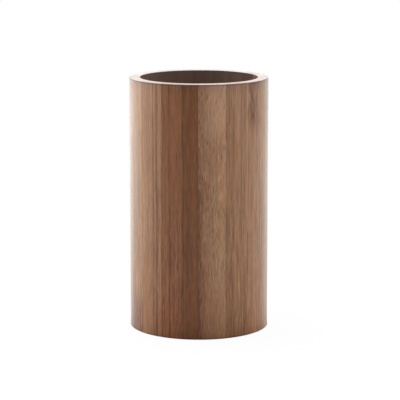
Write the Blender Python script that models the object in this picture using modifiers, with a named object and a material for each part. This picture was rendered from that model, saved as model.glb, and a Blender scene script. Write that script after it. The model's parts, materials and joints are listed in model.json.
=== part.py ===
"""Round toothbrush tumbler: a ring of glued bamboo staves round a base of glued bamboo slats."""

import math

import bmesh
import bpy

# The cup, in metres
outer_diameter = 0.065
height = 0.118
wall = 0.005
rim_ease = 0.0003
foot_ease = 0.0004

# The base, which sits in a rebate cut into the foot of the staves
base_thickness = 0.005
base_recess = 0.001
base_ease = 0.0003
rebate_depth = 0.002

# Room for the glue between two pieces
glue_line = 0.0003

# How far a cutter runs past what it cuts
overrun = 0.002

# The width of each stave as a share of the whole turn, counter-clockwise seen from above
stave_width_shares = (
    23.15, 19.5, 17.4, 16.8, 19.0, 17.0, 20.0, 16.0, 18.0, 20.0,
    16.0, 19.0, 17.0, 21.0, 18.0, 16.0, 12.8, 22.9, 18.3, 12.15,
)
stave_tones = (
    "sand", "fawn", "sand", "fawn", "umber", "fawn", "walnut", "sand", "umber", "fawn",
    "umber", "walnut", "fawn", "sand", "umber", "fawn", "sand", "umber", "walnut", "cocoa",
)
first_joint_turn = math.radians(-90.85)

# The width of each base slat as a share of the base's diameter, from -X to +X
slat_width_shares = (0.19, 0.21, 0.20, 0.22, 0.18)
slat_tones = ("fawn", "umber", "sand", "fawn", "umber")

# Bamboo's own colours after steaming, from the palest strip to the darkest
tones = {
    "sand": (0.33, 0.165, 0.080),
    "fawn": (0.31, 0.150, 0.066),
    "umber": (0.27, 0.122, 0.055),
    "walnut": (0.205, 0.074, 0.022),
    "cocoa": (0.162, 0.050, 0.010),
}
lacquer_roughness = 0.38

# How finely round shapes are faceted
facet_turn = math.radians(2.5)
fewest_facets = 2
ease_facets = 2
crisp_arris_angle = math.radians(40)

outer_radius = outer_diameter / 2
inner_radius = outer_radius - wall
rebate_radius = inner_radius + rebate_depth
base_radius = rebate_radius - glue_line
base_top = base_recess + base_thickness
rebate_top = base_top + glue_line
full_turn = 2 * math.pi
quarter_turn = math.pi / 2


def clear_scene():
    for old in list(bpy.data.objects):
        bpy.data.objects.remove(old)


def new_collection(name):
    collection = bpy.data.collections.new(name)
    bpy.context.scene.collection.children.link(collection)
    return collection


def bamboo(tone):
    """The lacquered bamboo of one tone, made the first time that it is asked for."""
    name = "bamboo_" + tone
    material = bpy.data.materials.get(name)
    if material is None:
        material = bpy.data.materials.new(name)
        material.use_nodes = True
        shader = material.node_tree.nodes["Principled BSDF"]
        shader.inputs["Base Color"].default_value = (*tones[tone], 1)
        shader.inputs["Roughness"].default_value = lacquer_roughness
        shader.inputs["Metallic"].default_value = 0
    return material


def finish(bm, name):
    """A smooth mesh with crisp arrises from a closed bmesh."""
    bmesh.ops.recalc_face_normals(bm, faces=bm.faces)
    mesh = bpy.data.meshes.new(name)
    bm.to_mesh(mesh)
    bm.free()
    mesh.shade_smooth()
    mesh.set_sharp_from_angle(angle=crisp_arris_angle)
    return mesh


def eased_corner(radius, z, ease, turn):
    """A quarter round in the stave's section, about a centre at this radius and height."""
    points = []
    for step in range(ease_facets + 1):
        angle = turn + quarter_turn * step / ease_facets
        points.append((radius + ease * math.cos(angle), z + ease * math.sin(angle)))
    return points


def stave_section():
    """The stave's section as (radius, z): outer face, rim, inner face, then the rebate for the base."""
    outer_foot = eased_corner(outer_radius - foot_ease, foot_ease, foot_ease, -quarter_turn)
    outer_rim = eased_corner(outer_radius - rim_ease, height - rim_ease, rim_ease, 0)
    inner_rim = eased_corner(inner_radius + rim_ease, height - rim_ease, rim_ease, quarter_turn)
    rebate = [(inner_radius, rebate_top), (rebate_radius, rebate_top)]
    inner_foot = eased_corner(rebate_radius + foot_ease, foot_ease, foot_ease, 2 * quarter_turn)
    return outer_foot + outer_rim + inner_rim + rebate + inner_foot


def stave_mesh(name, turn):
    """One stave, its section spun about the cup's axis from the X axis through its turn."""
    bm = bmesh.new()
    section = bm.faces.new([bm.verts.new((radius, 0, z)) for radius, z in stave_section()])
    bmesh.ops.spin(
        bm,
        geom=[section],
        cent=(0, 0, 0),
        axis=(0, 0, 1),
        angle=turn,
        steps=max(fewest_facets, round(turn / facet_turn)),
    )
    return finish(bm, name)


def add_staves(collection, cup):
    """The ring of staves, mitred on radial joints with half a glue line off each side."""
    glue_turn = glue_line / outer_radius
    start = first_joint_turn
    for number, share in enumerate(stave_width_shares):
        width_turn = full_turn * share / sum(stave_width_shares)
        name = f"stave_{number + 1:02d}"
        stave = bpy.data.objects.new(name, stave_mesh(name, width_turn - glue_turn))
        stave.data.materials.append(bamboo(stave_tones[number]))
        stave.rotation_euler.z = start + glue_turn / 2
        stave.parent = cup
        collection.objects.link(stave)
        start += width_turn


def disc_mesh():
    """The whole base disc, standing on its recess, with its two round edges still sharp."""
    bm = bmesh.new()
    bmesh.ops.create_cone(
        bm,
        cap_ends=True,
        segments=round(full_turn / facet_turn),
        radius1=base_radius,
        radius2=base_radius,
        depth=base_thickness,
    )
    bmesh.ops.translate(bm, verts=bm.verts, vec=(0, 0, base_recess + base_thickness / 2))
    return finish(bm, "base_disc")


def slat_cutter(name, left, right, cutters):
    """A block over the part of the disc that one slat keeps."""
    bm = bmesh.new()
    bmesh.ops.create_cube(bm, size=1)
    long_side = 2 * (base_radius + overrun)
    tall_side = base_thickness + 2 * overrun
    bmesh.ops.scale(bm, verts=bm.verts, vec=(right - left, long_side, tall_side))
    centre = ((left + right) / 2, 0, base_recess + base_thickness / 2)
    bmesh.ops.translate(bm, verts=bm.verts, vec=centre)
    cutter = bpy.data.objects.new(name, finish(bm, name))
    cutter.hide_render = True
    cutter.display_type = "WIRE"
    cutters.objects.link(cutter)
    return cutter


def add_base(collection, cutters, cup):
    """The base slats: one disc shape, its edges eased, cut to each slat's width."""
    disc = disc_mesh()
    last = len(slat_width_shares) - 1
    left = -base_radius
    for number, share in enumerate(slat_width_shares):
        right = left + 2 * base_radius * share / sum(slat_width_shares)
        cut_left = left - overrun if number == 0 else left + glue_line / 2
        cut_right = right + overrun if number == last else right - glue_line / 2
        slat = bpy.data.objects.new(f"base_slat_{number + 1}", disc.copy())
        slat.data.materials.append(bamboo(slat_tones[number]))
        slat.parent = cup
        collection.objects.link(slat)
        ease = slat.modifiers.new("eased_edges", "BEVEL")
        ease.limit_method = "ANGLE"
        ease.width = base_ease
        ease.segments = ease_facets
        keep = slat.modifiers.new("slat_width", "BOOLEAN")
        keep.operation = "INTERSECT"
        keep.solver = "EXACT"
        keep.object = slat_cutter(f"slat_cutter_{number + 1}", cut_left, cut_right, cutters)
        left = right


clear_scene()
tumbler = new_collection("toothbrush_tumbler")
tumbler_cutters = new_collection("cutters")
cup_origin = bpy.data.objects.new("cup_origin", None)
tumbler.objects.link(cup_origin)
add_staves(tumbler, cup_origin)
add_base(tumbler, tumbler_cutters, cup_origin)
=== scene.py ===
# %% [markdown]
# A toothbrush tumbler of steamed bamboo, under a clear satin lacquer.
# The real cup is coopered: twenty bamboo strips of unequal width are glued edge to edge into a ring, the
# ring is turned true on a lathe, and a base of five slats is glued into a rebate at its foot.
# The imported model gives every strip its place, so this script starts from it and adds what it leaves out:
# hairline joints, eased edges, the grain of each strip, the lacquer, and soft studio light.

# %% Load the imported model
import json
import math

import bpy
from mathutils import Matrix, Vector


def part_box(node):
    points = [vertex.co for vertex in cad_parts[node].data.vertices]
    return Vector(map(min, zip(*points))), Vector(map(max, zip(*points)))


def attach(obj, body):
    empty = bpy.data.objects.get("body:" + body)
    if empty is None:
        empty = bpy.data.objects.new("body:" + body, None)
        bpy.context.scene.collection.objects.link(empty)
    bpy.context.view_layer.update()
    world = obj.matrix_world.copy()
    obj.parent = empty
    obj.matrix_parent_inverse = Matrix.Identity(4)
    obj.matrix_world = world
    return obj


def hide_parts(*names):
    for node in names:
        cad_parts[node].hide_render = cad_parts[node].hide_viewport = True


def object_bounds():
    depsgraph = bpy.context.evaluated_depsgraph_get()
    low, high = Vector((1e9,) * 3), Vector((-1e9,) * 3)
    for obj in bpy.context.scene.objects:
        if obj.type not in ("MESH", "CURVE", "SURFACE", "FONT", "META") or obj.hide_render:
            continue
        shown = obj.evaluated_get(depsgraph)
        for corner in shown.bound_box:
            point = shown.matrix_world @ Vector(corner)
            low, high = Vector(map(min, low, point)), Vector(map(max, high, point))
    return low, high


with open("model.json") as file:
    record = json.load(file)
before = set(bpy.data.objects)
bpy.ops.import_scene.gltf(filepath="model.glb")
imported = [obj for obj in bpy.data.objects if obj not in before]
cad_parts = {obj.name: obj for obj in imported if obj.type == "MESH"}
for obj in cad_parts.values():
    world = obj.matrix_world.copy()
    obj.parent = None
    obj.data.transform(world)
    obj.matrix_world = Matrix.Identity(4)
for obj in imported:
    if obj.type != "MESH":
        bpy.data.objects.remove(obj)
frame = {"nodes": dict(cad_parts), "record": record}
cad_low, cad_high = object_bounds()
print("The model's box runs from", tuple(cad_low), "to", tuple(cad_high))

# %% [markdown]
# The sizes could be typed in again, but then they could drift away from the model, so they are read from it.
# A stave's corner points give the outer and inner radius, and a slat's box gives the height of the base.

# %% Read the cup's sizes
MM = 0.001
stave_names = sorted(name for name in frame["nodes"] if name.startswith("stave_"))
slat_names = sorted(name for name in frame["nodes"] if name.startswith("base_slat_"))
slots = {row["node"]: row["material_slot"] for row in frame["record"]["subparts"]}


def points_of(node):
    return [vertex.co.copy() for vertex in frame["nodes"][node].data.vertices]


def radii(node, low, high):
    """The radii of a node's corner points between two heights."""
    return [point.xy.length for point in points_of(node) if low <= point.z <= high]


HEIGHT = cad_high.z
OUTER_RADIUS = min(cad_high.x, -cad_low.x, cad_high.y, -cad_low.y)
INNER_RADIUS = min(radii(stave_names[0], HEIGHT / 2, HEIGHT))
slat_low, slat_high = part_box(slat_names[0])
BASE_BOTTOM, BASE_TOP = slat_low.z, slat_high.z
REBATE_RADIUS = min(radii(stave_names[0], 0, BASE_BOTTOM))
print(f"height {HEIGHT / MM:.1f}, outer radius {OUTER_RADIUS / MM:.2f}, inner {INNER_RADIUS / MM:.2f} mm")
print(f"rebate radius {REBATE_RADIUS / MM:.2f}, base from {BASE_BOTTOM / MM:.1f} to {BASE_TOP / MM:.1f} mm")

# %% [markdown]
# Each strip takes a different share of the turn. In the model a strip stops short of its neighbour by the
# width of a glue line, so the middle of that space is where the two finished strips meet.

# %% Find the joints between the staves
FULL_TURN = 2 * math.pi
QUARTER_TURN = FULL_TURN / 4


def turn_of(point):
    return math.atan2(point.y, point.x)


def stave_turns(node):
    """Where a stave starts and ends, in radians counter-clockwise from +X as seen from above."""
    middle = sum(points_of(node), Vector()).xy
    offsets = [middle.angle_signed(point.xy) for point in points_of(node)]
    centre = turn_of(middle)
    return centre - max(offsets), centre - min(offsets)


turns = {node: stave_turns(node) for node in stave_names}
joints = {}
for index, node in enumerate(stave_names):
    previous_end = turns[stave_names[index - 1]][1]
    gap = (turns[node][0] - previous_end) % FULL_TURN
    joints[node] = turns[node][0] - gap / 2


def turn_to_next(node):
    """How far it is from a stave's first joint to the next one."""
    following = stave_names[(stave_names.index(node) + 1) % len(stave_names)]
    return (joints[following] - joints[node]) % FULL_TURN


for node in stave_names[:3]:
    start, width = math.degrees(joints[node]), math.degrees(turn_to_next(node))
    print(f"{node} starts at {start:.1f} degrees and is {width:.1f} degrees wide")

# %% [markdown]
# Every stave has the same section: a tall thin bar with a step cut out of its foot for the base.
# It could be drawn point by point, but a bench hand would cut it from a bar, so that is what this does: a
# plane the size of the wall, cut across twice, with the corner piece taken away and the outer corners eased.
# A hairline of shadow is all that shows of a glued joint, so the finished pieces meet far closer than the
# model's solids do.

# %% Model the section of a stave
HAIRLINE = 0.04 * MM
EDGE_EASE = 0.3 * MM
EASE_STEPS = 4
STRAIGHT = math.radians(1)


def clear_selection():
    bpy.ops.object.select_all(action="DESELECT")


def pick(piece, kind, test):
    """Selects the corners, edges or faces of a piece that pass a test, and goes into edit mode."""
    mesh = piece.data
    groups = {"VERT": mesh.vertices, "EDGE": mesh.edges, "FACE": mesh.polygons}
    for items in groups.values():
        items.foreach_set("select", [False] * len(items))
    for item in groups[kind]:
        item.select = test(item)
    bpy.context.tool_settings.mesh_select_mode = [kind == name for name in groups]
    bpy.ops.object.mode_set(mode="EDIT")


def leave_edit_mode():
    bpy.ops.object.mode_set(mode="OBJECT")


def everything(item):
    return True


def slice_across(piece, place, direction, **options):
    """Cuts a piece along a plane."""
    pick(piece, "FACE", everything)
    bpy.ops.mesh.bisect(plane_co=place, plane_no=direction, **options)
    leave_edit_mode()


clear_selection()
bpy.ops.mesh.primitive_plane_add(
    size=1,
    location=((OUTER_RADIUS + INNER_RADIUS) / 2, 0, HEIGHT / 2),
    rotation=(QUARTER_TURN, 0, 0),
)
section = bpy.context.object
section.name = "stave_section"
section.scale = (OUTER_RADIUS - INNER_RADIUS, HEIGHT, 1)
bpy.ops.object.transform_apply(location=True, rotation=True, scale=True)

shoulder = BASE_TOP + HAIRLINE
slice_across(section, (REBATE_RADIUS, 0, 0), (1, 0, 0))
slice_across(section, (0, 0, shoulder), (0, 0, 1))
pick(section, "FACE", lambda face: face.center.x < REBATE_RADIUS and face.center.z < shoulder)
bpy.ops.mesh.delete(type="FACE")
bpy.ops.mesh.select_all(action="SELECT")
bpy.ops.mesh.dissolve_limited(angle_limit=STRAIGHT)
leave_edit_mode()
pick(section, "VERT", lambda corner: corner.co.z < EDGE_EASE or corner.co.z > HEIGHT - EDGE_EASE)
bpy.ops.mesh.bevel(offset=EDGE_EASE, segments=EASE_STEPS, affect="VERTICES")
leave_edit_mode()
print("The section has", len(section.data.vertices), "corners")

# %% [markdown]
# Spinning the section about the cup's axis turns it into a stave, as the lathe turns the glued ring. A tube
# cut into wedges would give the same shape, but with messier ends than a spin leaves.
# One copy of the section is made for each stave, turned to its joint, and spun as far as the next one, less
# a hairline. The long arrises lose a touch too, so a joint catches the light as a fine line.

# %% Spin the staves
SPIN_STEP = math.radians(1)
ARRIS = 0.05 * MM
ARRIS_STEPS = 2
SMOOTH_ANGLE = math.radians(35)
CORNERS_OF_A_QUAD = 4


def copy_piece(source, name):
    piece = source.copy()
    piece.data = source.data.copy()
    piece.name = name
    bpy.context.scene.collection.objects.link(piece)
    clear_selection()
    piece.select_set(True)
    bpy.context.view_layer.objects.active = piece
    return piece


def turn_faces_outwards():
    bpy.ops.mesh.select_all(action="SELECT")
    bpy.ops.mesh.normals_make_consistent(inside=False)


def ease_around(piece, test):
    """Takes the sharpness off the edges round the faces that pass a test."""
    faces = [face for face in piece.data.polygons if test(face)]
    edges = {tuple(sorted(key)) for face in faces for key in face.edge_keys}
    pick(piece, "EDGE", lambda edge: tuple(sorted(edge.vertices)) in edges)
    bpy.ops.mesh.bevel(offset=ARRIS, segments=ARRIS_STEPS, affect="EDGES")
    leave_edit_mode()


def finish_edges(piece):
    """Smooth shading over the round faces, with the flats kept flat up to their arrises."""
    bpy.ops.object.shade_smooth_by_angle(angle=SMOOTH_ANGLE)
    weighted = piece.modifiers.new("even_light", "WEIGHTED_NORMAL")
    weighted.keep_sharp = True
    bpy.ops.object.modifier_apply(modifier=weighted.name)


def is_glued_end(face):
    """A spun stave is all quads but for the whole sections at its two joints."""
    return len(face.vertices) > CORNERS_OF_A_QUAD


def spin_stave(node):
    hairline_turn = HAIRLINE / OUTER_RADIUS
    width = turn_to_next(node) - hairline_turn
    piece = copy_piece(section, node.replace("stave", "strip"))
    piece.rotation_euler.z = joints[node] + hairline_turn / 2
    bpy.ops.object.transform_apply(location=False, rotation=True, scale=False)
    pick(piece, "FACE", everything)
    bpy.ops.mesh.spin(steps=math.ceil(width / SPIN_STEP), angle=width, center=(0, 0, 0), axis=(0, 0, -1))
    turn_faces_outwards()
    leave_edit_mode()
    ease_around(piece, is_glued_end)
    finish_edges(piece)
    return piece


strips = {node: spin_stave(node) for node in stave_names}
bpy.data.objects.remove(section)
print(len(strips), "staves of", sum(len(strip.data.polygons) for strip in strips.values()), "faces in all")

# %% [markdown]
# The base is one disc to the eye, but it is five slats wide. A real one is glued up as a panel and then cut
# round, and so is this: a cylinder with eased edges, copied once for each slat and cut down to its width.
# Its joints are tighter than those of the wall, because a flat panel is clamped up harder than a ring.

# %% Model the base slats
DISC_SIDES = 240
SLAT_HAIRLINE = 0.01 * MM
TOUCH = 0.004 * MM
slat_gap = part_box(slat_names[1])[0].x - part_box(slat_names[0])[1].x

clear_selection()
bpy.ops.mesh.primitive_cylinder_add(
    vertices=DISC_SIDES,
    radius=REBATE_RADIUS - HAIRLINE,
    depth=BASE_TOP - BASE_BOTTOM,
    location=(0, 0, (BASE_TOP + BASE_BOTTOM) / 2),
)
disc = bpy.context.object
bpy.ops.object.transform_apply(location=True, rotation=True, scale=True)


def is_level(edge):
    ends = [disc.data.vertices[corner].co for corner in edge.vertices]
    return abs(ends[0].z - ends[1].z) < TOUCH


pick(disc, "EDGE", is_level)
bpy.ops.mesh.bevel(offset=EDGE_EASE, segments=EASE_STEPS, affect="EDGES")
leave_edit_mode()


def cut_slat(node):
    """A copy of the disc, kept between the two joints beside one slat."""
    low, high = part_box(node)
    piece = copy_piece(disc, node.replace("base_slat", "floor_slat"))
    for side, place, rim_side in (
        (-1, low.x, node == slat_names[0]),
        (1, high.x, node == slat_names[-1]),
    ):
        if not rim_side:
            cut = place + side * (slat_gap - SLAT_HAIRLINE) / 2
            slice_across(piece, (cut, 0, 0), (side, 0, 0), use_fill=True, clear_outer=True)
            ease_around(piece, lambda face: abs(face.center.x - cut) < TOUCH)
    pick(piece, "FACE", everything)
    turn_faces_outwards()
    leave_edit_mode()
    finish_edges(piece)
    return piece


slats = {node: cut_slat(node) for node in slat_names}
bpy.data.objects.remove(disc)
print(len(slats), "base slats, with", round(slat_gap / MM, 2), "mm between them in the model")

# %% [markdown]
# The bamboo is drawn with shader nodes. Wiring nodes by hand takes many lines, so these helpers let a recipe
# be read like arithmetic: each takes sockets or plain values, adds a node to the tree that the sockets belong
# to, and returns the node's output.

# %% Make helpers for node recipes
def wire(value, target):
    """Feeds a socket from another socket, or sets it to a plain value."""
    if isinstance(value, bpy.types.NodeSocket):
        value.id_data.links.new(value, target)
    else:
        target.default_value = value


def new_node(kind, values, **settings):
    """A node in the tree of the first socket among the values."""
    tree = next(value.id_data for value in values if isinstance(value, bpy.types.NodeSocket))
    node = tree.nodes.new("ShaderNode" + kind)
    for name, setting in settings.items():
        setattr(node, name, setting)
    return node


def add_node(kind, values, **settings):
    """The same, with the values fed to the node's inputs in order."""
    node = new_node(kind, values, **settings)
    for value, target in zip(values, node.inputs):
        wire(value, target)
    return node


def compute(operation, *values):
    return add_node("Math", values, operation=operation).outputs[0]


def plus(first, *others):
    for other in others:
        first = compute("ADD", first, other)
    return first


def times(first, *others):
    for other in others:
        first = compute("MULTIPLY", first, other)
    return first


def minus(first, second):
    return compute("SUBTRACT", first, second)


def size_of(value):
    return compute("ABSOLUTE", value)


def centred(value, strength):
    """A value that runs about 0.5, moved to run about 0 and scaled."""
    return times(minus(value, 0.5), strength)


def rise(value, low, high, to_low=0.0, to_high=1.0):
    """A smooth step up, as a value goes from low to high."""
    values = (value, low, high, to_low, to_high)
    return add_node("MapRange", values, interpolation_type="SMOOTHSTEP").outputs[0]


def fall(value, low, high):
    """A smooth step from one down to nought, as a value goes from low to high."""
    return rise(value, low, high, 1.0, 0.0)


print("Helpers for numbers are ready")

# %% [markdown]
# The same for places and colours. The noise is Blender's own, in the units of the place that it is given.

# %% Make helpers for places and colours
def vector_math(operation, *values):
    node = add_node("VectorMath", values, operation=operation)
    return next(output for output in node.outputs if output.enabled)


def combine(x, y, z):
    return add_node("CombineXYZ", (x, y, z)).outputs[0]


def separate(vector):
    return add_node("SeparateXYZ", (vector,)).outputs


def noise(place, detail=0.0, roughness=0.5):
    node = add_node("TexNoise", (place,))
    for name, value in (("Scale", 1.0), ("Detail", detail), ("Roughness", roughness)):
        node.inputs[name].default_value = value
    return node.outputs["Fac"]


def mix(share, first, second, blend="MIX"):
    node = new_node("Mix", (share, first, second), data_type="RGBA", blend_type=blend)
    for name, value in (("Factor", share), ("A", first), ("B", second)):
        wire(value, node.inputs[name])
    return node.outputs["Result"]


def tinge(share, colour, stain):
    """A colour under a thin stain, which multiplies it."""
    return mix(share, colour, stain, "MULTIPLY")


def new_group(name, inputs, outputs):
    """A node group. The plain value of each input tells its kind: a number, a vector or a colour."""
    kinds = {1: "Float", 3: "Vector", 4: "Color"}
    group = bpy.data.node_groups.new(name, "ShaderNodeTree")
    for socket_name, value in inputs.items():
        kind = "NodeSocket" + kinds[len(value) if isinstance(value, tuple) else 1]
        socket = group.interface.new_socket(socket_name, in_out="INPUT", socket_type=kind)
        socket.default_value = value
    for socket_name, kind in outputs.items():
        group.interface.new_socket(socket_name, in_out="OUTPUT", socket_type="NodeSocket" + kind)
    return group, group.nodes.new("NodeGroupInput").outputs, group.nodes.new("NodeGroupOutput").inputs


print("Helpers for places and colours are ready")

# %% [markdown]
# Steamed bamboo is made of three things: pale pith, the dark bundles of fibre that run up through it like
# wires, and slow bands where the bundles crowd together near the skin. A flat picture of wood wrapped round
# the cup would smear over the rim, so all three are solid patterns here, in the strip's own directions: the
# same field shows as long lines on a face and as dots on the rim's end grain.
# One node group holds the recipe, and these are the ways in which a strip may differ from its neighbours.

# %% Start the bamboo recipe
ORIGIN = (0.0, 0.0, 0.0)
SEED_STEP = 37.0

grain, given, out = new_group(
    "bamboo_grain",
    {
        # Where the strip is, and how it lies
        "Place": ORIGIN,
        "Seed": 0.0,
        "Tilt": (0.0, -0.002, 0.0),
        "Half Turn": FULL_TURN,
        "Is Stave": 1.0,
        # Its colours, and how deep its brown is over its width and height
        "Pale": (0.45, 0.25, 0.13, 1.0),
        "Deep": (0.18, 0.07, 0.03, 1.0),
        "Cast": (1.0, 1.0, 1.0, 1.0),
        "Seal And Shade": (0.24, 0.175, 0.15, 1.0),
        "Cut": (0.50, 0.36, 0.30, 1.0),
        # Its colours, how deep its brown is over its width, and a painted shade over its height
        "Shade": 0.0,
        "Side Slope": 0.0,
        "Painted Height Shade": 0.0,
        # The strength of each part of its figure
        "Lines": 0.9,
        "Threads": 0.85,
        "Hairs": 0.55,
        "Bands": 0.35,
        "Clouds": 0.3,
        "Foot Grain": 0.5,
        "Dashes": 0.06,
        "Dash Size": (0.9, 0.9, 30.0),
        # Its own marks, with painted light in a top corner and painted shade at the foot
        "Dark Streaks": ORIGIN,
        "Dark Depths": ORIGIN,
        "Pale Streaks": ORIGIN,
        "Pale Depths": ORIGIN,
        "Dark Side": 0.0,
        "Painted Top Light": 0.0,
        "Painted Foot Shade": 0.0,
        "Knuckle": 0.0,
        "Knuckle Side": 0.0,
        "Knuckle Height": 0.0,
        "Glue": 0.12,
    },
    {"Color": "Color", "Roughness": "Float", "Height": "Float", "Lacquer": "Float"},
)
x, y, z = separate(given["Place"])
shift = times(given["Seed"], SEED_STEP)
print("The recipe has", len(given) - 1, "inputs")

# %% [markdown]
# The recipe works in millimetres along three directions of the strip: x towards the bark, y sideways and z up
# the stem. The fibres aren't quite straight: they wander a little, and where a branch once grew they swing
# round it. So the place is pushed sideways before any pattern reads it.

# %% Bend the fibres
WANDER = 0.6
WANDERS_PER_MM = 0.014
WANDER_SLICE = 3.0
KNUCKLE_SPAN = (10.0, 19.0)
KNUCKLE_SWAY = 4.0
SWAYS_PER_MM_ACROSS, SWAYS_PER_MM_ALONG = 0.28, 0.13

above = minus(z, given["Knuckle Height"])
near = times(fall(size_of(above), *KNUCKLE_SPAN), given["Knuckle"])
swirl = noise(combine(times(y, SWAYS_PER_MM_ACROSS), shift, times(z, SWAYS_PER_MM_ALONG)), 1.0)
sway = times(centred(swirl, KNUCKLE_SWAY), near)
wander = noise(combine(shift, times(z, WANDERS_PER_MM), WANDER_SLICE))
tilt = vector_math("MULTIPLY", given["Tilt"], combine(z, z, z))
aside = combine(shift, plus(sway, centred(wander, WANDER)), 0.0)
moved = vector_math("ADD", vector_math("ADD", given["Place"], tilt), aside)
print("The fibres wander by up to", WANDER / 2, "mm, and by", KNUCKLE_SWAY / 2, "mm at a knuckle")

# %% [markdown]
# Each part of the figure is noise that is stretched along the stem, with its sizes across and along in
# millimetres: broad bands, soft clouds, lines of a millimetre, threads that run on for a centimetre or two,
# short hairs and fine fibres.
# Bundles that dive in and out of the face show as dashes. Those are the long cells of a Voronoi pattern, each
# as dark or as pale as its own random colour says, and they grow fainter towards the foot.

# %% Lay the fibres
DASH_SPAN = (0.1, 0.55)
DASH_HEIGHTS = (10.0, 60.0)
FAINT_DASHES = 0.35


def stretched_noise(across, along, detail=1.0, roughness=0.5):
    place = vector_math("MULTIPLY", moved, (1 / across, 1 / across, 1 / along))
    return noise(place, detail, roughness)


bands = stretched_noise(2.6, 260.0)
clouds = stretched_noise(6.0, 30.0)
lines = stretched_noise(0.8, 130.0, detail=2.0, roughness=0.65)
threads = stretched_noise(0.5, 15.0)
hairs = stretched_noise(0.45, 4.0)
fibres = stretched_noise(0.16, 24.0)
tint = stretched_noise(3.0, 22.0, detail=0.0)

cells = add_node("TexVoronoi", (vector_math("DIVIDE", moved, given["Dash Size"]),))
cells.inputs["Scale"].default_value = 1.0
core = fall(cells.outputs["Distance"], *DASH_SPAN)
darkness = centred(separate(cells.outputs["Color"])[0], 2.0)
dash = times(core, darkness, rise(z, *DASH_HEIGHTS, FAINT_DASHES, 1.0))
print("Seven noises and one cell pattern")

# %% [markdown]
# Some lines are too strong to be left to chance: bundles that got more steam, and pale ones beside them. A
# strip may have three of each, placed sideways in millimetres. They lean with the grain and fade in and out.

# %% Draw the strong lines
LINE_WANDER = 0.8
LINE_SPAN = (0.12, 0.55)
FADING_SPAN = (0.25, 0.6)
FAINTEST, STRONGEST = 0.45, 1.1

leaning = plus(y, centred(wander, LINE_WANDER))
fading = rise(threads, *FADING_SPAN, FAINTEST, STRONGEST)


def streaks(sides, depths):
    drawn = 0.0
    for side, depth in zip(separate(given[sides]), separate(given[depths])):
        line = fall(size_of(minus(leaning, side)), *LINE_SPAN)
        drawn = plus(times(line, depth), drawn)
    return times(drawn, fading)


strong = minus(streaks("Dark Streaks", "Dark Depths"), streaks("Pale Streaks", "Pale Depths"))
print("Each strong line is about", round(sum(LINE_SPAN), 2), "mm wide")

# %% [markdown]
# At the knuckle the fibres part and close again like a plait. Two strands swing as mirrored waves, so that
# they cross every 8 mm, and a third runs beside them on darker ground.

# %% Plait the knuckle
CROSSING = 8.3
STRAND_SWING, STRAND_SPAN, STRAND_DEPTH = 1.2, (0.2, 1.4), 0.2
THIRD_SIDE, THIRD_SWING, THIRD_SHARE = 3.6, 0.5, 0.7
GROUND_SIDE, GROUND_SPAN, GROUND_DEPTH = 0.9, (2.4, 4.6), 0.26

swing = compute("SINE", times(above, math.pi / CROSSING))
swayed = plus(y, sway)


def strand(offset, reach):
    path = plus(given["Knuckle Side"], offset, times(swing, reach))
    return fall(size_of(minus(swayed, path)), *STRAND_SPAN)


third = times(strand(THIRD_SIDE, THIRD_SWING), THIRD_SHARE)
plait = plus(strand(0.0, STRAND_SWING), strand(0.0, -STRAND_SWING), third)
middle = plus(given["Knuckle Side"], GROUND_SIDE)
ground = fall(size_of(minus(swayed, middle)), *GROUND_SPAN)
scar = times(near, plus(times(ground, GROUND_DEPTH), times(plait, STRAND_DEPTH)))
print("The strands cross every", CROSSING, "mm")

# %% [markdown]
# Next is what lies at the strip's sides and ends. Glue darkens a line along its two joints, and a dark strip
# may stain the one after it, most of all low down. A strip may have painted light in its top corner and
# painted shade at its foot, because the lamp on the left lights the top of the wall more than the foot. Each
# mark is a mask that rises or falls over a span in millimetres.

# %% Mark the joints and the patches
TOP = HEIGHT / MM
GLUE_SPAN = (0.05, 0.35)
GLUE_BREAKS, BROKEN_GLUE = (0.3, 0.6), 0.3
STAIN_SPAN, STAIN_HEIGHTS = (0.0, 4.0), (40.0, TOP)
PATCH_WANDER = 6.0
PATCH_SPAN, PATCH_HEIGHTS = (-8.0, 2.0), (88.0, 102.0)
PAINTED_FOOT_SHADE_HEIGHTS = (0.0, 32.0)

radius = vector_math("LENGTH", combine(x, y, 0.0))
side_turn = compute("ARCTAN2", y, x)
start_gap = times(plus(given["Half Turn"], side_turn), radius)
joint_gap = times(minus(given["Half Turn"], size_of(side_turn)), radius)
glue = times(fall(joint_gap, *GLUE_SPAN), rise(threads, *GLUE_BREAKS, BROKEN_GLUE, 1.0), given["Glue"])
dark_side = times(fall(start_gap, *STAIN_SPAN), fall(z, *STAIN_HEIGHTS), given["Dark Side"])
# Painted light in a top corner and painted shade at the foot, as the lamp on the left lights the top more
# than the foot.
patch_place = plus(y, centred(wander, PATCH_WANDER))
painted_top_light = times(rise(z, *PATCH_HEIGHTS), rise(patch_place, *PATCH_SPAN), given["Painted Top Light"])
painted_foot_shade = times(fall(z, *PAINTED_FOOT_SHADE_HEIGHTS), given["Painted Foot Shade"])
print("A line of glue is about", round(sum(GLUE_SPAN), 2), "mm wide")

# %% [markdown]
# The rest marks the whole wall. The inside is sealed, the rim shows end grain inside an eased arris, and the
# top 6 mm is duller and greyer. A painted shade darkens the arris under the rim and a fine line round the
# foot. A painted sheen greys the upper half and leaves the lower part redder. The base has none of this.

# %% Mark the rim, the foot and the inside
INSIDE = INNER_RADIUS / MM
INSIDE_SPAN = (INSIDE + 0.1, INSIDE + 0.5)
CUT_HEIGHTS = (TOP - 0.3, TOP - 0.02)
TOP_BAND_HEIGHTS = (TOP - 6.0, TOP - 0.6)
ARRIS_STARTS, ARRIS_ENDS = (TOP - 0.9, TOP - 0.5), (TOP - 0.14, TOP - 0.04)
FOOT_LINE_HEIGHTS = (0.15, 0.65)
LOW_HEIGHTS, HIGH_HEIGHTS = (0.0, 45.0), (60.0, TOP)


def on_staves(*masks):
    return times(given["Is Stave"], *masks)


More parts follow.
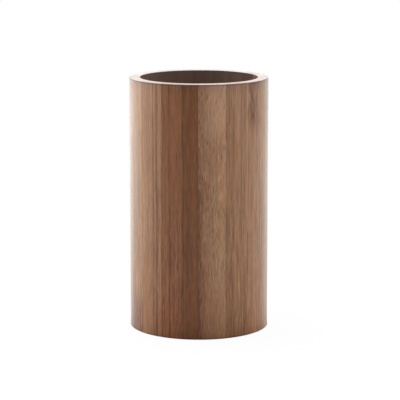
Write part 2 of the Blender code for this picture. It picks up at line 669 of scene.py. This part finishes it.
cut_end = on_staves(rise(z, *CUT_HEIGHTS))
# The top 6 mm is duller and greyer.
top_band = on_staves(rise(z, *TOP_BAND_HEIGHTS))
# Painted shade: a dark band on the arris under the rim, and a fine dark line round the foot for the shadow
# where it meets the floor.
painted_rim_shade = on_staves(rise(z, *ARRIS_STARTS), fall(z, *ARRIS_ENDS))
painted_foot_line = on_staves(fall(z, *FOOT_LINE_HEIGHTS))
low = on_staves(fall(z, *LOW_HEIGHTS))
high = on_staves(rise(z, *HIGH_HEIGHTS))
inside = on_staves(fall(radius, *INSIDE_SPAN))
print("The rim is at", round(TOP, 1), "mm and the inside wall at", round(INSIDE, 1), "mm")

# %% [markdown]
# All of it adds up to one number, how deep the brown is, and that number blends the strip's pale tone into
# its deep one. Threads and hairs are livelier near the foot, by as much as the strip's foot grain says.

# %% Add up the depth of the brown
MIDDLE = 0.5
FIBRE_DEPTH = 0.25
SLOPE_PER_MM = 0.1
LIVELY_HEIGHTS = (50.0, 75.0)
END_DOTS, END_PALENESS = 0.6, 0.35
PALEST, DEEPEST = -0.3, 1.18

lively = plus(times(fall(z, *LIVELY_HEIGHTS), given["Foot Grain"]), 1.0)
depth = plus(
    given["Shade"],
    MIDDLE,
    times(y, SLOPE_PER_MM, given["Side Slope"]),
    # A painted shade over the height: the lamp on the left lights the top more than the foot.
    centred(times(z, 1 / TOP), given["Painted Height Shade"]),
    centred(lines, given["Lines"]),
    times(centred(threads, given["Threads"]), lively),
    times(centred(hairs, given["Hairs"]), lively),
    centred(bands, given["Bands"]),
    centred(clouds, given["Clouds"]),
    centred(fibres, FIBRE_DEPTH),
    times(dash, given["Dashes"]),
    strong,
    scar,
    glue,
    dark_side,
    times(painted_top_light, -1.0),
    painted_foot_shade,
    times(cut_end, minus(times(core, END_DOTS), END_PALENESS)),
)
kept_depth = compute("MAXIMUM", compute("MINIMUM", depth, DEEPEST), PALEST)
print("The depth of the brown is kept between", PALEST, "and", DEEPEST)

# %% [markdown]
# A slow tint makes some fibres redder and others greener, as steamed bamboo has it. Over that come a painted
# sheen, redder low down and greyer high up, the duller top band, the painted shade on the arris and round the
# foot, the seal on the inside with painted shade on some strips at the back, and the cut end of the rim,
# which shows the pale pith between its dots and a painted reflection.

# %% Turn the depth into a colour
REDDER, GREENER = (1.025, 0.985, 0.945, 1), (0.975, 1.015, 1.055, 1)
TINT_SPAN = (0.25, 0.75)
# A painted sheen: the lower part redder as under a weaker reflection, the upper half greyer as under a
# stronger one.
PAINTED_LOW_SHEEN = (1.09, 0.99, 0.87, 1)
PAINTED_HIGH_SHEEN = (1.0, 1.03, 1.12, 1)
TOP_BAND_TINT = (0.83, 0.88, 1.0, 1)
# The colour of the painted shade on the rim's arris and round the foot.
PAINTED_EDGE_SHADE = (0.6, 0.57, 0.55, 1)
SEAL_COVER, CUT_COVER = 0.75, 0.6

browned = mix(kept_depth, given["Pale"], given["Deep"])
browned.node.clamp_factor = False
tinted = tinge(1.0, browned, mix(rise(tint, *TINT_SPAN), REDDER, GREENER))
fresh = tinge(1.0, tinted, given["Cast"])
sheen_painted = tinge(high, tinge(low, fresh, PAINTED_LOW_SHEEN), PAINTED_HIGH_SHEEN)
top_banded = tinge(top_band, sheen_painted, TOP_BAND_TINT)
edge_shaded = tinge(plus(painted_rim_shade, painted_foot_line), top_banded, PAINTED_EDGE_SHADE)
# The inside's seal colour, with painted shade on some strips at the back.
sealed_and_shaded = mix(times(inside, SEAL_COVER), edge_shaded, given["Seal And Shade"])
# The rim's cut end: end grain and a painted reflection.
wire(mix(times(cut_end, CUT_COVER), sealed_and_shaded, given["Cut"]), out["Color"])
print("The seal covers", SEAL_COVER, "of the inside's own colour")

# %% [markdown]
# The lacquer fills the pores but for a faint trace of the fibres, and the open end grain of the rim drinks
# nearly half of it.

# %% Finish the recipe
WOOD_ROUGHNESS, FIBRE_ROUGHNESS, DASH_ROUGHNESS = 0.42, 0.10, 0.05
FIBRE_HEIGHT, LINE_HEIGHT, DASH_HEIGHT = 0.4, 0.5, -0.3
DRUNK_LACQUER = 0.4

rough_fibres = centred(fibres, FIBRE_ROUGHNESS)
raised = plus(times(fibres, FIBRE_HEIGHT), times(lines, LINE_HEIGHT), times(core, DASH_HEIGHT))
wire(plus(rough_fibres, WOOD_ROUGHNESS, times(core, DASH_ROUGHNESS)), out["Roughness"])
wire(raised, out["Height"])
wire(plus(times(cut_end, -DRUNK_LACQUER), 1.0), out["Lacquer"])
print("The grain group has", len(grain.nodes), "nodes")

# %% [markdown]
# Steaming turns bamboo from straw to brown, and how far depends on the stem, so the strips differ. Each of
# the record's five tones is three colours here: the pale pith, the deep brown of the fibre, and the end grain
# where the rim is cut.

# %% Choose the tones
# The Cut colours are pale: partly the pith of the end grain, partly a painted reflection of the bright room
# on the rim.
TONES = {
    "bamboo_sand": {
        "Pale": (0.460, 0.250, 0.138, 1),
        "Deep": (0.180, 0.068, 0.026, 1),
        "Cut": (0.66, 0.62, 0.60, 1),
    },
    "bamboo_fawn": {
        "Pale": (0.465, 0.245, 0.132, 1),
        "Deep": (0.175, 0.068, 0.026, 1),
        "Cut": (0.60, 0.575, 0.56, 1),
    },
    "bamboo_umber": {
        "Pale": (0.415, 0.205, 0.104, 1),
        "Deep": (0.155, 0.056, 0.020, 1),
        "Cut": (0.575, 0.54, 0.525, 1),
    },
    "bamboo_walnut": {
        "Pale": (0.290, 0.115, 0.042, 1),
        "Deep": (0.118, 0.034, 0.008, 1),
        "Cut": (0.58, 0.52, 0.49, 1),
    },
    "bamboo_cocoa": {
        "Pale": (0.235, 0.080, 0.026, 1),
        "Deep": (0.090, 0.022, 0.001, 1),
        "Cut": (0.50, 0.42, 0.37, 1),
    },
}
print(len(TONES), "tones, all of them used:", set(slots.values()) == set(TONES))

# %% [markdown]
# Each strip has a material of its own, because Object coordinates are turned there so that the recipe's x, y
# and z follow that strip. The lacquer could be a second shell of clear stuff, but it is thinner than a hair:
# the Principled shader's coat is enough, and the wood below keeps its own soft gloss.

# %% Make a strip's material
LACQUER_IOR = 1.36
LACQUER_ROUGHNESS = 0.25
WOOD_GLOSS = 0.1
GRAIN_RELIEF = 0.02 * MM
GRAIN_STRENGTH = 0.6


def bamboo_material(name, tone, turn, values):
    material = bpy.data.materials.new(name)
    material.use_nodes = True
    tree = material.node_tree
    shader = tree.nodes["Principled BSDF"]
    mapping = tree.nodes.new("ShaderNodeMapping")
    mapping.inputs["Scale"].default_value = (1 / MM, 1 / MM, 1 / MM)
    mapping.inputs["Rotation"].default_value = turn
    wire(tree.nodes.new("ShaderNodeTexCoord").outputs["Object"], mapping.inputs["Vector"])
    strip = tree.nodes.new("ShaderNodeGroup")
    strip.node_tree = grain
    wire(mapping.outputs["Vector"], strip.inputs["Place"])
    for socket_name, value in {**TONES[tone], **values}.items():
        strip.inputs[socket_name].default_value = value
    bump = tree.nodes.new("ShaderNodeBump")
    bump.inputs["Distance"].default_value = GRAIN_RELIEF
    bump.inputs["Strength"].default_value = GRAIN_STRENGTH
    wire(strip.outputs["Height"], bump.inputs["Height"])
    wire(bump.outputs["Normal"], shader.inputs["Normal"])
    wire(strip.outputs["Color"], shader.inputs["Base Color"])
    wire(strip.outputs["Roughness"], shader.inputs["Roughness"])
    wire(strip.outputs["Lacquer"], shader.inputs["Coat Weight"])
    shader.inputs["Specular IOR Level"].default_value = WOOD_GLOSS
    shader.inputs["Coat Roughness"].default_value = LACQUER_ROUGHNESS
    shader.inputs["Coat IOR"].default_value = LACQUER_IOR
    return material


def dress(piece, node, turn, values):
    piece.data.materials.clear()
    piece.data.materials.append(bamboo_material(piece.name, slots[node], turn, values))
    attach(piece, "root")
    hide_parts(node)


print("A lacquer with an index of", LACQUER_IOR)

# %% [markdown]
# Most strips lie with their bark edge sideways and show long even lines. Four lie bark outwards and show
# short dashes. The cut ends on the rim differ too: those at the front are browner than those at the back, and
# the ones at the sides lie between. The paler ones are a painted reflection, for the rim shines whitest at
# the back and sides.

# %% Describe what several strips share
FACE = {
    "Tilt": (0.05, -0.015, 0.0),
    "Lines": 0.35,
    "Threads": 0.7,
    "Hairs": 0.6,
    "Bands": 0.2,
    "Foot Grain": 0.1,
    "Dashes": 0.72,
    "Dash Size": (0.5, 0.5, 4.2),
}
# Browner cut ends at the front, between at the sides; the paler ones elsewhere are a painted reflection.
BROWN_CUT = {"Cut": (0.455, 0.33, 0.275, 1)}
HALF_BROWN_CUT = {"Cut": (0.50, 0.43, 0.385, 1)}
SIDE_CUT = {"Cut": (0.49, 0.46, 0.44, 1)}
PALE_INSIDE = {"Seal And Shade": (0.28, 0.205, 0.172, 1)}
print("A bark face has dashes", FACE["Dash Size"][2], "mm long")

# %% [markdown]
# Beyond that each strip has a history of its own. To the right of the front the first one is the pale, dashed
# face that the eye goes to, stained along its left joint by the darkest strip. The third carries the scar of
# a branch near its top.

# %% Describe the strips to the right of the front
# The pale top corners, height shades and darker feet of these strips are painted light and shade.
right_strips = {
    "stave_01": {
        **FACE,
        **BROWN_CUT,
        "Cast": (1.0, 0.99, 0.93, 1),
        "Side Slope": -0.39,
        "Dark Side": 0.37,
        "Painted Top Light": 0.4,
        "Painted Foot Shade": 0.07,
        "Glue": 0.05,
    },
    "stave_02": {
        "Cut": (0.38, 0.28, 0.24, 1),
        "Shade": 0.09,
        "Cast": (1.0, 1.0, 0.93, 1),
        "Side Slope": -0.1,
        "Painted Height Shade": -0.12,
        "Painted Top Light": 0.12,
        "Glue": 0.07,
        "Dark Streaks": (-3.9, -1.7, 2.7),
        "Dark Depths": (0.05, 0.08, 0.08),
        "Pale Streaks": (1.3, 3.35, 5.2),
        "Pale Depths": (0.06, 0.14, 0.04),
    },
    "stave_03": {
        **HALF_BROWN_CUT,
        "Shade": -0.11,
        "Painted Height Shade": -0.08,
        "Cast": (1.02, 0.96, 0.84, 1),
        "Dark Streaks": (-3.6, -1.9, 0.0),
        "Dark Depths": (0.15, 0.05, 0.0),
        "Pale Streaks": (-4.85, 4.5, 0.0),
        "Pale Depths": (0.13, 0.12, 0.0),
        "Knuckle": 1.0,
        "Knuckle Side": -0.8,
        "Knuckle Height": 110.9,
    },
    "stave_04": {**SIDE_CUT, "Shade": -0.05, "Cast": (1.03, 1.01, 0.75, 1)},
    "stave_05": SIDE_CUT,
}
print(len(right_strips), "strips to the right")

# %% [markdown]
# To the left of the front the strips grow darker and redder towards the middle, with strong dark lines. The
# ones at the edge are pale above and brown at the foot: painted light and painted shade from the lamp on the
# left.

# %% Describe the strips to the left of the front
left_strips = {
    "stave_15": SIDE_CUT,
    "stave_16": {
        **SIDE_CUT,
        "Shade": -0.08,
        "Painted Height Shade": -0.2,
        "Cast": (0.98, 1.14, 1.15, 1),
        "Painted Top Light": 0.28,
        "Painted Foot Shade": 0.5,
    },
    "stave_17": {
        **HALF_BROWN_CUT,
        "Shade": -0.17,
        "Painted Height Shade": -0.45,
        "Cast": (1.0, 1.06, 1.06, 1),
        "Painted Top Light": 0.08,
        "Painted Foot Shade": 0.34,
    },
    "stave_18": {
        **BROWN_CUT,
        "Shade": -0.05,
        "Cast": (1.0, 1.04, 1.02, 1),
        "Side Slope": 0.25,
        "Painted Height Shade": -0.32,
        "Painted Foot Shade": 0.06,
        "Glue": 0.16,
        "Dark Streaks": (-2.6, 1.5, 3.5),
        "Dark Depths": (0.1, 0.26, 0.27),
        "Pale Streaks": (-3.6, -2.0, 2.5),
        "Pale Depths": (0.12, 0.08, 0.06),
    },
    "stave_19": {
        **BROWN_CUT,
        "Cast": (1.01, 0.95, 0.75, 1),
        "Side Slope": 0.12,
        "Painted Foot Shade": 0.08,
        "Hairs": 0.85,
        "Foot Grain": 0.7,
        "Glue": 0.2,
        "Dark Streaks": (-1.4, 4.95, 2.5),
        "Dark Depths": (0.35, 0.25, 0.12),
        "Pale Streaks": (-2.8, 1.45, 3.6),
        "Pale Depths": (0.12, 0.08, 0.05),
    },
    "stave_20": {
        **BROWN_CUT,
        "Cast": (1.01, 0.98, 0.45, 1),
        "Threads": 0.95,
        "Hairs": 0.95,
        "Foot Grain": 0.0,
        "Glue": 0.1,
        "Dark Streaks": (-3.2, -1.3, 0.0),
        "Dark Depths": (0.2, 0.12, 0.08),
        "Pale Streaks": (1.2, 2.5, 0.0),
        "Pale Depths": (0.08, 0.18, 0.0),
    },
}
print(len(left_strips), "strips to the left")

# %% [markdown]
# The back shows only its inner side from the front, over the rim. Its inside grows paler from the right to
# the left: painted shade, darkest where the lamp on the left lights the inner wall most.

# %% Describe the strips at the back
back_strips = {
    "stave_06": FACE,
    # Painted shade inside, darkest on the right where the lamp on the left lights the inner wall most.
    "stave_07": {"Seal And Shade": (0.13, 0.09, 0.075, 1)},
    "stave_08": {"Seal And Shade": (0.16, 0.115, 0.098, 1)},
    "stave_09": {"Seal And Shade": (0.19, 0.154, 0.125, 1)},
    "stave_10": {"Seal And Shade": (0.236, 0.164, 0.138, 1)},
    "stave_11": {**FACE, **PALE_INSIDE},
    "stave_12": PALE_INSIDE,
    "stave_14": FACE,
}
strip_values = {**right_strips, **left_strips, **back_strips}
print(len(back_strips), "more at the back, and", len(stave_names) - len(strip_values), "left plain")

# %% [markdown]
# The seed moves the pattern, so that no two strips share it. The base slats take the same recipe, lying down,
# each a shade paler or darker than the next.

# %% Dress the strips
FIRST_SLAT_SEED = 31.0
SLAT_SHADES = (-0.12, 0.1, -0.25, 0.0, 0.22)

for index, node in enumerate(stave_names):
    half_turn = turn_to_next(node) / 2
    values = {"Seed": index + 1.0, "Half Turn": half_turn, **strip_values.get(node, {})}
    dress(strips[node], node, (0, 0, -joints[node] - half_turn), values)
for index, node in enumerate(slat_names):
    values = {
        "Seed": index + FIRST_SLAT_SEED,
        "Tilt": (0.004, 0.0, 0.0),
        "Is Stave": 0.0,
        "Shade": SLAT_SHADES[index],
    }
    dress(slats[node], node, (QUARTER_TURN, 0, 0), values)
print(len(strips) + len(slats), "pieces dressed")

# %% [markdown]
# The cup stands on a white sweep. A plane would do, but the floor is a wide flat ring, open under the cup, so
# that the foot can be looked at from below, and it is clear from below.

# %% Lay the floor
FLOOR_RADIUS = 4.0
FLOOR_SIDES = 120

clear_selection()
bpy.ops.mesh.primitive_circle_add(
    vertices=FLOOR_SIDES, radius=OUTER_RADIUS - EDGE_EASE, location=(0, 0, 0)
)
floor = bpy.context.object
floor.name = "floor"
pick(floor, "EDGE", everything)
bpy.ops.mesh.extrude_edges_move()
bpy.ops.transform.resize(value=(FLOOR_RADIUS / OUTER_RADIUS, FLOOR_RADIUS / OUTER_RADIUS, 1))
turn_faces_outwards()
leave_edit_mode()
if floor.data.polygons[0].normal.z < 0:
    floor.data.flip_normals()
print("The floor is", 2 * FLOOR_RADIUS, "m across")

# %% [markdown]
# Seen by the camera the sweep is white, with the cup's own soft shadow and a thin dark line where the foot
# touches it. To the light it is a plain pale floor with painted shade on it, a little darker round the cup
# and most of all behind it.

# %% Make the white sweep
FLOOR_PALE, FLOOR_SHADED = (0.85, 0.85, 0.85, 1), (0.66, 0.66, 0.66, 1)
SHADE_SPAN, SHADE_FROM_FRONT_TO_BACK, FRONT_SHARE = (0.05, 0.45), (-0.03, 0.05), 0.2
SHADOW_SPAN, SHADOW_SHARE = (0.04, 0.4), 0.05
CONTACT_WIDTH = 0.4 * MM

sweep = bpy.data.materials.new("white_sweep")
sweep.use_nodes = True
nodes = sweep.node_tree.nodes
nodes.clear()
output = nodes.new("ShaderNodeOutputMaterial")
matt = nodes.new("ShaderNodeBsdfDiffuse")
white = nodes.new("ShaderNodeEmission")
clear = nodes.new("ShaderNodeBsdfTransparent")
place = nodes.new("ShaderNodeTexCoord").outputs["Object"]
distance = vector_math("LENGTH", place)
# Painted shade in the floor's colour, round the cup and most of all behind it.
behind = rise(separate(place)[1], *SHADE_FROM_FRONT_TO_BACK, FRONT_SHARE, 1.0)
shaded = times(fall(distance, *SHADE_SPAN), behind)
wire(mix(shaded, FLOOR_PALE, FLOOR_SHADED), matt.inputs["Color"])
open_ground = rise(distance, *SHADOW_SPAN, 1 - SHADOW_SHARE, 1.0)
contact = rise(distance, OUTER_RADIUS, OUTER_RADIUS + CONTACT_WIDTH)
seen = times(nodes.new("ShaderNodeLightPath").outputs["Is Camera Ray"], open_ground, contact)
lit = add_node("MixShader", (seen, matt.outputs[0], white.outputs[0])).outputs[0]
underneath = nodes.new("ShaderNodeNewGeometry").outputs["Backfacing"]
wire(add_node("MixShader", (underneath, lit, clear.outputs[0])).outputs[0], output.inputs["Surface"])
floor.data.materials.append(sweep)
print("The cup's shadow takes", SHADOW_SHARE, "off the white")

# %% [markdown]
# A studio shot like this one has a large soft box on the left, a weaker one behind on the right, and one high
# up at the back. That is why the round sides glow and the front stays deep.

# %% Light the studio
def soft_box(name, azimuth, elevation, distance, side, radiance):
    """A square lamp aimed at the cup. Azimuth 0 is the camera's side, and 90 the right."""
    around, up = math.radians(azimuth), math.radians(elevation)
    toward = Vector((math.sin(around) * math.cos(up), -math.cos(around) * math.cos(up), math.sin(up)))
    lamp = bpy.data.lights.new(name, "AREA")
    lamp.shape = "SQUARE"
    lamp.size = side
    lamp.energy = radiance * math.pi * side * side
    holder = bpy.data.objects.new(name, lamp)
    holder.location = Vector((0, 0, HEIGHT / 2)) + distance * toward
    holder.rotation_euler = toward.to_track_quat("Z", "Y").to_euler()
    holder.visible_camera = False
    bpy.context.scene.collection.objects.link(holder)
    print(name, "gives", round(lamp.energy, 2), "W")


soft_box("left_box", azimuth=-105, elevation=36, distance=1.1, side=0.96, radiance=2.9)
soft_box("right_box", azimuth=105, elevation=30, distance=2.0, side=1.5, radiance=1.4)
soft_box("top_box", azimuth=180, elevation=68, distance=2.5, side=2.5, radiance=3.3)

# %% [markdown]
# The room round them is dim behind the camera and bright towards the white backdrop, which glows most low
# down, and a little darker on the right. The camera itself sees plain white.

# %% Build the room
ROOM_SPAN, ROOM_FRONT, ROOM_BACK = (-0.2, 0.8), 0.40, 0.95
BACKDROP_SPAN, BACKDROP_RISE, BACKDROP_GLOW = (0.75, 0.97), (0.1, 0.5), 0.85
RIGHT_SPAN, RIGHT_SHARE = (0.1, 0.7), 0.7

world = bpy.data.worlds.new("studio")
bpy.context.scene.world = world
world.use_nodes = True
nodes = world.node_tree.nodes
nodes.clear()
output = nodes.new("ShaderNodeOutputWorld")
background = nodes.new("ShaderNodeBackground")
right, back, up = separate(nodes.new("ShaderNodeTexCoord").outputs["Generated"])
backdrop = times(rise(back, *BACKDROP_SPAN), rise(up, *BACKDROP_RISE, BACKDROP_GLOW, 0.0))
walls = plus(rise(back, *ROOM_SPAN, ROOM_FRONT, ROOM_BACK), backdrop)
room = times(walls, rise(right, *RIGHT_SPAN, 1.0, RIGHT_SHARE))
seen = nodes.new("ShaderNodeLightPath").outputs["Is Camera Ray"]
wire(plus(times(room, minus(1.0, seen)), seen), background.inputs["Strength"])
wire(background.outputs[0], output.inputs["Surface"])
bpy.context.scene.view_settings.view_transform = "Standard"
print("The room goes from", ROOM_FRONT, "behind the camera to", ROOM_BACK, "at the back")

# %% [markdown]
# The camera is a long lens close to level, as the thin ellipse of the rim shows. Its place comes from fitting
# the outlines of the rim, foot and sides to a cup of this size.

# %% Place the camera
SENSOR_WIDTH = 36
FOCAL_LENGTH = 163.15
CAMERA_PLACE = (0.0005, -0.842, 0.2143)
CAMERA_PITCH = math.radians(79.58)

lens = bpy.data.cameras.new("camera")
lens.sensor_width = SENSOR_WIDTH
lens.lens = FOCAL_LENGTH
camera = bpy.data.objects.new("camera", lens)
camera.location = CAMERA_PLACE
camera.rotation_euler = (CAMERA_PITCH, 0, 0)
bpy.context.scene.collection.objects.link(camera)
bpy.context.scene.camera = camera
print("A", FOCAL_LENGTH, "mm lens,", round(Vector(CAMERA_PLACE).length, 2), "m away")
